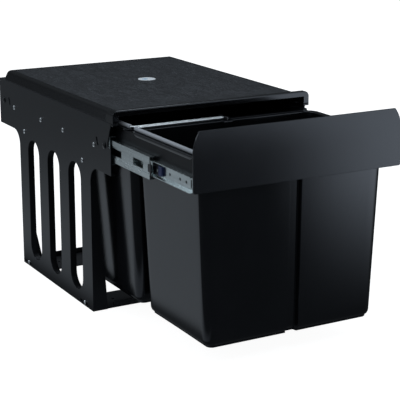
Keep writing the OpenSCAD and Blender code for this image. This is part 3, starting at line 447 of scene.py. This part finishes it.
# Rows run from the middle of the bin's floor up the inside, over the rim and down the
# outside to the middle of its underside. Each wall row is set in by its draft times its
# share of the height, and each round edge is a quarter circle of rows.
def makeBin(name, cadNode, body, v):
    low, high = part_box(cadNode)
    height = high.z - low.z
    mouthFront = low.y + v["rimOverhang"]
    rimHalf = high.x
    rows = []

    def wallRow(z, inset, groove=1.0):
        share = (height - z) / height
        rows.append((v["halfWidth"] - v["sideDraft"] * share - inset,
                     v["frontDraft"] * share + inset,
                     v["depth"] - v["backDraft"] * share - inset,
                     max(v["cornerRadius"] - inset, v["smallestCorner"]),
                     v["fluteDepth"] * groove, z, 0.0))

    def rimRow(z, inset, drop=0.0):
        rows.append((rimHalf - inset, -v["rimOverhang"] + inset,
                     v["depth"] + v["rimOverhang"] - inset, v["rimCorner"] - inset, 0.0, z, drop))

    quarter = np.linspace(0, math.pi / 2, v["quarterSteps"])
    wall, base, rimT, r = v["wall"], v["baseHeight"], v["rimThickness"], v["rimRound"]
    underRim, soft = height - rimT - v["rimDrop"], v["underRound"]
    for inset in v["floorInsets"]:          # inner floor
        wallRow(v["floorZ"], inset)
    for a in quarter:                       # inner base curve
        wallRow(v["floorZ"] + (base + wall - v["floorZ"]) * (1 - math.cos(a)),
                wall + v["baseInset"] * (1 - math.sin(a)))
    for z in np.linspace(base + wall, height - r, v["wallRows"])[1:]:
        wallRow(z, wall)
    for a in quarter[1:]:                   # inner lip
        wallRow(height - r * (1 - math.sin(a)), wall - r * (1 - math.cos(a)))
    for a in quarter:                       # outer lip
        rimRow(height - r * (1 - math.cos(a)), r * (1 - math.sin(a)))
    rimRow(height - rimT + r, 0)
    for a in quarter[1:]:
        rimRow(height - rimT + r * (1 - math.sin(a)) * soft, r * soft * (1 - math.cos(a)), 1.0)
    rimRow(height - rimT, v["rimWall"] - r * soft, 1.0)
    rimRow(height - rimT, v["rimWall"], v["dropEnd"])
    rimRow(height - rimT, v["rimWall"] + v["rimEdge"], 0.0)
    wallRow(height - rimT, 0, 0.0)
    wallRow(underRim, 0, 0.0)
    wallRow(underRim - v["lipSoft"], 0, v["grooveStart"])
    for z in np.linspace(underRim - 2 * v["lipSoft"], base, v["wallRows"]):
        wallRow(z, 0)
    for a in quarter[1:]:                   # outer base curve
        wallRow(base - (base - v["undersideZ"]) * math.sin(a), v["baseInset"] * (1 - math.cos(a)))
    ring, width, under, lift = v["ringInset"], v["ringWidth"], v["undersideZ"], v["ringSoft"]
    for z, inset in ((under, ring), (lift, ring), (0, ring + lift), (0, ring + width - lift),
                     (lift, ring + width), (under, ring + width), (under, v["underInset"])):
        wallRow(z, inset)                   # the ring that the bin stands on
    table = np.array(rows)
    grid = binPlan(v, *table[:, :6].T)
    # the rim turns down along the two sides only
    middle = v["depth"] / 2
    nearMiddle = (middle - v["rimEndIn"] - np.abs(grid[..., 1] - middle)) / v["rimEndSlope"]
    onSide = np.abs(grid[..., 0]) > rimHalf - v["rimBand"]
    grid[..., 2] -= table[:, 6:7] * v["rimDrop"] * np.clip(nearMiddle, 0, 1) * onSide
    grid += np.array([0, mouthFront, low.z])
    centerY = mouthFront + v["depth"] / 2
    piece = meshFromGrid(name, grid, (0, centerY, low.z + v["floorZ"]), (0, centerY, low.z + under))
    dress(piece, body, "bin_plastic", cadNode)


makeBin("frontBinShell", "front_bin", "front_bin_body", binValues)
makeBin("rearBinShell", "rear_bin", "rear_bin_body", binValues)
print("bins made")


bailValues = {
    "crossX": -0.1572, "bend": 0.0052, "wire": 0.0036, "sleeve": 0.0064, "pivotIn": 0.0095,
    "pivotBend": 0.75, "tuck": 0.0002, "lip": 0.0008, "sleeveGap": 0.0004, "sleeveEndIn": 0.01,
    "sides": 20, "bendSteps": 8, "lipSteps": 5, "sleeveRows": 12,
    "wireSlot": "wire_zinc", "sleeveSlot": "sleeve_plastic",
}


# A tube: at each point of the path a circle of the given radius, in the plane across the
# path's direction, on two directions that stay square to it, because the path is level
def tubeGrid(path, radius, sides):
    along = np.gradient(path, axis=0)
    along /= np.linalg.norm(along, axis=1, keepdims=True)
    up = np.array([0.0, 0.0, 1.0])
    across = np.cross(up, along)
    turn = np.linspace(0, 2 * math.pi, sides + 1)[:-1]
    radius = np.broadcast_to(radius, len(path))[:, None, None]
    return path[:, None] + radius * (across[:, None] * np.cos(turn)[None, :, None]
                                     + up * np.sin(turn)[None, :, None])


# A corner of the path is a quarter circle of the bend's radius
def roundCorner(corner, before, after, radius, steps):
    corner, before, after = (np.array(p, float) for p in (corner, before, after))
    inward = (before - corner) / np.linalg.norm(before - corner)
    outward = (after - corner) / np.linalg.norm(after - corner)
    turn = np.linspace(0, math.pi / 2, steps + 1)[:, None]
    return corner + radius * (inward * (1 - np.sin(turn)) + outward * (1 - np.cos(turn)))


# A bail: a wire bent twice at each side, from pivot to pivot, and a sleeve on its cross bar
def makeBail(name, wireNode, sleeveNode, body, v):
    low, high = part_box(wireNode)
    half = (high.z - low.z) / 2
    z, y0, y1, x = low.z + half, low.y + half, high.y - half, v["crossX"]
    line = [(0, y0 + v["pivotIn"], z), (0, y0, z), (x, y0, z), (x, y1, z), (0, y1, z),
            (0, y1 - v["pivotIn"], z)]
    path = [np.array([line[0]])]
    for index in range(1, 5):
        radius = v["bend"] if index in (2, 3) else v["wire"] * v["pivotBend"]
        before, after = line[index - 1], line[index + 1]
        path.append(roundCorner(line[index], before, after, radius, v["bendSteps"]))
    path.append(np.array([line[-1]]))
    wire = meshFromGrid(name + "Wire", tubeGrid(np.concatenate(path), v["wire"] / 2, v["sides"]),
                        line[0], line[-1])
    dress(wire, body, v["wireSlot"], wireNode)
    # the sleeve's ends round over to the wire
    inner, outer, lip = v["wire"] / 2 - v["tuck"], v["sleeve"] / 2, v["lip"]
    turn = np.linspace(0, math.pi / 2, v["lipSteps"])
    edge = np.concatenate([[0], lip * (1 - np.cos(turn))])
    radii = np.concatenate([[inner], outer - lip * (1 - np.sin(turn))])
    start, stop = y0 + v["bend"] + v["sleeveGap"], y1 - v["bend"] - v["sleeveGap"]
    between = np.linspace(start + v["sleeveEndIn"], stop - v["sleeveEndIn"], v["sleeveRows"])
    along = np.concatenate([start + edge, between, (stop - edge)[::-1]])
    radii = np.concatenate([radii, np.full(v["sleeveRows"], outer), radii[::-1]])
    spine = np.stack([0 * along + x, along, 0 * along + z], axis=-1)
    turn = np.linspace(0, 2 * math.pi, v["sides"] + 1)[:-1]
    ring = np.stack([np.cos(turn), 0 * turn, np.sin(turn)], axis=-1)
    sleeve = meshFromGrid(name + "Sleeve", spine[:, None] + radii[:, None, None] * ring,
                          spine[0], spine[-1])
    dress(sleeve, body, v["sleeveSlot"], sleeveNode)


makeBail("frontBail", "front_bail_wire", "front_bail_sleeve", "front_bail", bailValues)
makeBail("rearBail", "rear_bail_wire", "rear_bail_sleeve", "rear_bail", bailValues)
print("bails made")


labelValues = {
    "x": 0.0097, "y": 0.0166, "radius": 0.0155, "thickness": 0.00035, "lift": 0.00004,
    "spotLeft": 0.25, "spotInner": 0.28, "spotOuter": 0.42, "spotStrength": 0.75,
    "paper": (0.86, 0.88, 0.90), "spot": (0.16, 0.44, 0.66), "fibre": (0.92, 0.94, 0.95),
    "fibreScale": 700, "fibreDepth": 0.00001, "fibreRise": (0.5, 0.8),
    "fibreAmount": 0.2, "fibreRough": 0.1, "roughness": 0.3, "sides": 72, "edgeSteps": 5,
}


# The hood's round label, bare of any words: a disc whose edge rounds over, as its radius
# falls along a quarter circle while its height rises
def makeLabel(v):
    f = Finish("labelFilm")
    x = f.axis("X") - v["x"] + v["radius"] * v["spotLeft"]
    y = f.axis("Y") - v["y"]
    distance = (x * x + y * y) ** 0.5
    fibre = f.noise(v["fibreScale"], 3)
    inner = 1 - distance.rise(v["radius"] * v["spotInner"], v["radius"] * v["spotOuter"])
    color = f.mixColor(inner * v["spotStrength"], v["paper"], v["spot"])
    color = f.mixColor(fibre.rise(*v["fibreRise"]) * v["fibreAmount"], color, v["fibre"])
    rough = fibre * v["fibreRough"] + v["roughness"]
    finishes["label_film"] = f.close(Base_Color=color, Roughness=rough, IOR=1.45,
                                     Normal=f.relief([(fibre, v["fibreDepth"])], 0))
    around = np.linspace(0, 2 * math.pi, v["sides"] + 1)[:-1]
    edge = np.linspace(0, math.pi / 2, v["edgeSteps"])
    radius = v["radius"] - v["thickness"] * (1 - np.cos(edge))
    z = hoodValues["top"] + v["lift"] + v["thickness"] * np.sin(edge)
    radius, z = np.append(radius, v["radius"] * 0.5), np.append(z, z[-1])
    grid = np.stack([v["x"] + radius[:, None] * np.cos(around),
                     v["y"] + radius[:, None] * np.sin(around), z[:, None] + 0 * around], axis=-1)
    piece = meshFromGrid("hoodLabel", grid, (v["x"], v["y"], z[0]), (v["x"], v["y"], z[-1]))
    piece.data.materials.append(finishes["label_film"])
    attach(piece, "frame")


makeLabel(labelValues)
print("label made")


cameraValues = {"place": (-0.9991, -1.9958, 0.7343), "yaw": 28.99, "pitch": -13.833,
                "roll": -0.100, "lens": 116.96, "sensor": 36.0, "shiftY": -0.08, "clipEnd": 60}


def makeCamera(v):
    data = bpy.data.cameras.new("camera")
    data.lens, data.sensor_width, data.sensor_fit = v["lens"], v["sensor"], "HORIZONTAL"
    data.shift_y, data.clip_end = v["shiftY"], v["clipEnd"]
    camera = bpy.data.objects.new("camera", data)
    camera.location = v["place"]
    yaw, pitch, roll = (math.radians(v[k]) for k in ("yaw", "pitch", "roll"))
    turn = Matrix.Rotation(-yaw, 3, "Z") @ Matrix.Rotation(math.pi / 2 + pitch, 3, "X") \
        @ Matrix.Rotation(roll, 3, "Z")
    camera.rotation_mode = "QUATERNION"
    camera.rotation_quaternion = turn.to_quaternion()
    bpy.context.scene.collection.objects.link(camera)
    bpy.context.scene.camera = camera


makeCamera(cameraValues)
bpy.context.scene.view_settings.view_transform = "Standard"

stageValues = {
    "floorGrey": 0.36, "floorGlow": 0.95, "cool": (0.83, 0.92, 1.0), "worldLevel": 0.34,
    "mirrorFront": 0.03, "mirrorBack": 0.045, "mirrorTop": 0.28, "mirrorRight": 2.2,
    "mirrorLeft": 0.12, "paperScale": 300, "paperRough": 0.85, "grainRough": 0.05,
    "floorFront": 0.08, "floorSide": 0.38, "floorRight": 2.5, "floorBack": 0.10,
    "floorSize": 9.0, "floorDrop": 0.0004,
    # where each part of the mirrored floor fades in, in metres along its own direction
    "cardTurn": 0.6, "sideTurn": 1.9, "floorFar": (0.35, 1.1), "floorCard": (-0.31, 0.04),
    "floorCardEnd": (-1.35, -0.50), "floorSideFront": (-1.05, -0.88), "floorSideLeft": (0.19, 0.23),
    # the same for the world, as shares of a direction
    "walls": (-0.5, 0.6), "top": (0.25, 0.8), "card": (-0.13, 0.06), "cardEnd": (-0.4, -0.1),
    "left": (0.2, 0.6), "leftEnd": (-0.4, 0.2),
}


# The camera sees the floor and the world as white; the shadow on the floor stays. What a
# glossy surface mirrors of the floor is graded: a dark flag lies in front of the object, a
# bright card at its right front
def makeFloor(v):
    ends = (-v["floorSize"], v["floorSize"])
    mesh = bpy.data.meshes.new("floor")
    mesh.from_pydata([(x, y, -v["floorDrop"]) for y in ends for x in ends], [], [(0, 1, 3, 2)])
    floor = bpy.data.objects.new("floor", mesh)
    bpy.context.scene.collection.objects.link(floor)
    f = Finish("floorPaper")
    x, y = f.axis("X"), f.axis("Y")
    grain = f.noise(v["paperScale"], 3)
    seen = f.node("ShaderNodeLightPath", output="Is Camera Ray")
    mirrored = f.node("ShaderNodeLightPath", output="Is Glossy Ray")
    grey = v["floorGrey"]
    far = y.rise(*v["floorFar"])
    card = (x + y * v["cardTurn"]).rise(*v["floorCard"]) * (1 - y.rise(*v["floorCardEnd"]))
    side = (y + x * v["sideTurn"]).rise(*v["floorSideFront"])
    side = side * (0 - x).rise(*v["floorSideLeft"]) * (1 - far)
    level = card * (v["floorRight"] - v["floorFront"]) + v["floorFront"]
    level = level + side * v["floorSide"] + far * v["floorBack"]
    paper = f.mixColor(mirrored, (grey, grey, grey), (0, 0, 0))
    diffuse = f.node("ShaderNodeBsdfPrincipled", {},
                     {"Base Color": paper, "Roughness": grain * v["grainRough"] + v["paperRough"],
                      "Specular IOR Level": 0.0})
    glow = f.node("ShaderNodeEmission", {}, {"Color": f.mixColor(mirrored, (1, 1, 1), v["cool"]),
                                             "Strength": seen * v["floorGlow"] + mirrored * level})
    mesh.materials.append(f.show(f.node("ShaderNodeAddShader", {}, {0: diffuse, 1: glow})))


makeFloor(stageValues)


# The world: white to the camera and through glass, plain for soft light, and for glossy
# surfaces dim walls with a bright card at the right front, a soft left side and a top
def makeWorld(v):
    world = bpy.data.worlds.new("studio")
    bpy.context.scene.world = world
    world.use_nodes = True
    f = Finish("studio", world.node_tree)
    seen = f.node("ShaderNodeLightPath", output="Is Camera Ray")
    mirrored = f.node("ShaderNodeLightPath", output="Is Glossy Ray")
    through = f.node("ShaderNodeLightPath", output="Is Transmission Ray")
    direction = f.node("ShaderNodeTexCoord", output="Generated")
    x, y, z = (f.node("ShaderNodeSeparateXYZ", {}, {0: direction}, letter) for letter in "XYZ")
    walls = y.rise(*v["walls"]) * (v["mirrorBack"] - v["mirrorFront"]) + v["mirrorFront"]
    top = z.rise(*v["top"])
    card = (x + y * v["cardTurn"]).rise(*v["card"]) * (1 - y.rise(*v["cardEnd"])) * v["mirrorRight"]
    left = (0 - x).rise(*v["left"]) * y.rise(*v["leftEnd"]) * v["mirrorLeft"]
    mirror = (walls + card + left) * (1 - top) + top * v["mirrorTop"]
    plain = 1 - seen
    soft = mirrored * mirror + (1 - mirrored) * v["worldLevel"]
    level = seen + through * plain + plain * (1 - through) * soft
    shader = f.node("ShaderNodeBackground", {}, {"Color": f.mixColor(seen, v["cool"], (1, 1, 1)),
                                                 "Strength": level})
    f.show(shader, "ShaderNodeOutputWorld")


makeWorld(stageValues)

lampValues = {
    "leftBox": {"place": (-2.2, 1.9, 1.7), "aim": (-0.4, 0.6, 0.0), "size": (1.6, 1.4),
                "power": 16},
    "topBox": {"place": (0.2, 0.9, 2.6), "aim": (0, 0.1, 0.2), "size": (2.0, 1.6), "power": 23},
    "frontBox": {"place": (-0.4, -2.6, 2.6), "aim": (0, -0.2, 0.2), "size": (1.2, 0.8),
                 "power": 10},
}


# Soft boxes, each turned to face the point that it aims at
def makeLamps(table, tint):
    for name, v in table.items():
        data = bpy.data.lights.new(name, "AREA")
        data.shape, data.size, data.size_y = "RECTANGLE", v["size"][0], v["size"][1]
        data.energy, data.color = v["power"], tint
        lamp = bpy.data.objects.new(name, data)
        lamp.location = v["place"]
        aim = Vector(v["aim"]) - Vector(v["place"])
        lamp.rotation_mode = "QUATERNION"
        lamp.rotation_quaternion = aim.to_track_quat("-Z", "Y")
        bpy.context.scene.collection.objects.link(lamp)


makeLamps(lampValues, stageValues["cool"])
print("stage made")
